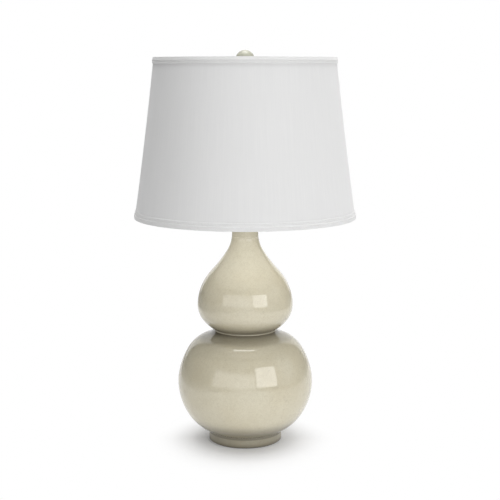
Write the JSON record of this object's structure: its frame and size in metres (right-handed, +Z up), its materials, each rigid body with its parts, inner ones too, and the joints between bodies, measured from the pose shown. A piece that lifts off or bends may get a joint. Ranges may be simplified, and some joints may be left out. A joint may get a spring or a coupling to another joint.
{
  "type": "double gourd table lamp",
  "caption": "Table lamp with a glazed double gourd body, a fabric drum shade on a harp, a ball finial and a lamp holder with a turn switch.",
  "frame": {"origin": "centre of the foot's underside, on the table", "axes": "+Z up the axis of the lamp; the switch knob points to -Y and the cord hole to +Y; +X is to the right seen from the front"},
  "size_m": [0.4064, 0.4064, 0.7244],
  "materials": {
    "glaze": "gloss ivory glaze with a fine crackle",
    "felt": "pressed felt",
    "ivory_plastic": "moulded",
    "zinc_steel": "zinc plated",
    "brass": "satin, lacquered",
    "rubber": "matte",
    "cardboard": "vulcanised fibre",
    "block_plastic": "moulded phenolic",
    "knob_plastic": "moulded",
    "cap_metal": "rolled thread",
    "bulb_glass": "frosted white",
    "bulb_insulator": "dark vitreous",
    "shade_fabric": "fine upright weave",
    "shade_liner": "styrene backing sheet",
    "shade_trim": "folded tape",
    "ring_paint": "white epoxy"
  },
  "bodies": {
    "base": {"felt_pad": "felt", "gourd_body": "glaze", "cord_bushing": "ivory_plastic", "floor_washer": "zinc_steel", "floor_spring_washer": "zinc_steel", "floor_nut": "zinc_steel", "lamp_tube": "zinc_steel", "neck_gasket": "rubber", "neck_cap": "brass", "neck_nut": "zinc_steel", "harp_saddle": "brass", "holder_cap": "brass", "grub_screw": "zinc_steel", "holder_barrel": "brass", "holder_liner": "cardboard", "switch_block": "block_plastic", "terminal_screws": "brass", "screw_sleeve": "cap_metal", "centre_contact": "brass", "switch_nose": "brass"},
    "knob": {"switch_stem": "brass", "turn_knob": "knob_plastic"},
    "bulb": {"bulb_tip": "cap_metal", "bulb_insulator": "bulb_insulator", "bulb_cap": "cap_metal", "bulb_glass": "bulb_glass"},
    "harp": {"harp": "brass"},
    "left_sleeve": {"locking_sleeve_left": "brass"},
    "right_sleeve": {"locking_sleeve_right": "brass"},
    "swivel": {"swivel_stud": "brass"},
    "shade": {"shade_fabric": "shade_fabric", "shade_liner": "shade_liner", "top_ring": "ring_paint", "bottom_ring": "ring_paint", "top_trim": "shade_trim", "bottom_trim": "shade_trim", "back_seam": "shade_fabric", "spider_hub": "brass", "spider_arm_1": "brass", "spider_arm_2": "brass", "spider_arm_3": "brass"},
    "finial": {"finial_insert": "brass", "finial_ball": "glaze"}
  },
  "joints": [
    {"name": "knob_turn", "type": "hinge", "parent": "base", "child": "knob", "pos_m": [0, -0.03, 0.462], "axis": [0, -1, 0], "continuous": true},
    {"name": "bulb_unscrew", "type": "slide", "parent": "base", "child": "bulb", "axis": [0, 0, 1], "range_m": [0, 0.03]},
    {"name": "harp_lift", "type": "slide", "parent": "base", "child": "harp", "axis": [0, 0, 1], "range_m": [0, 0.06]},
    {"name": "left_sleeve_lift", "type": "slide", "parent": "harp", "child": "left_sleeve", "axis": [0, 0, 1], "range_m": [0, 0.013]},
    {"name": "right_sleeve_lift", "type": "slide", "parent": "harp", "child": "right_sleeve", "axis": [0, 0, 1], "range_m": [0, 0.013]},
    {"name": "shade_swivel", "type": "hinge", "parent": "harp", "child": "swivel", "pos_m": [0, 0, 0.681], "axis": [0, 0, 1], "continuous": true},
    {"name": "shade_lift", "type": "slide", "parent": "swivel", "child": "shade", "axis": [0, 0, 1], "range_m": [0, 0.3]},
    {"name": "finial_unscrew", "type": "slide", "parent": "shade", "child": "finial", "axis": [0, 0, 1], "range_m": [0, 0.03]}
  ]
}
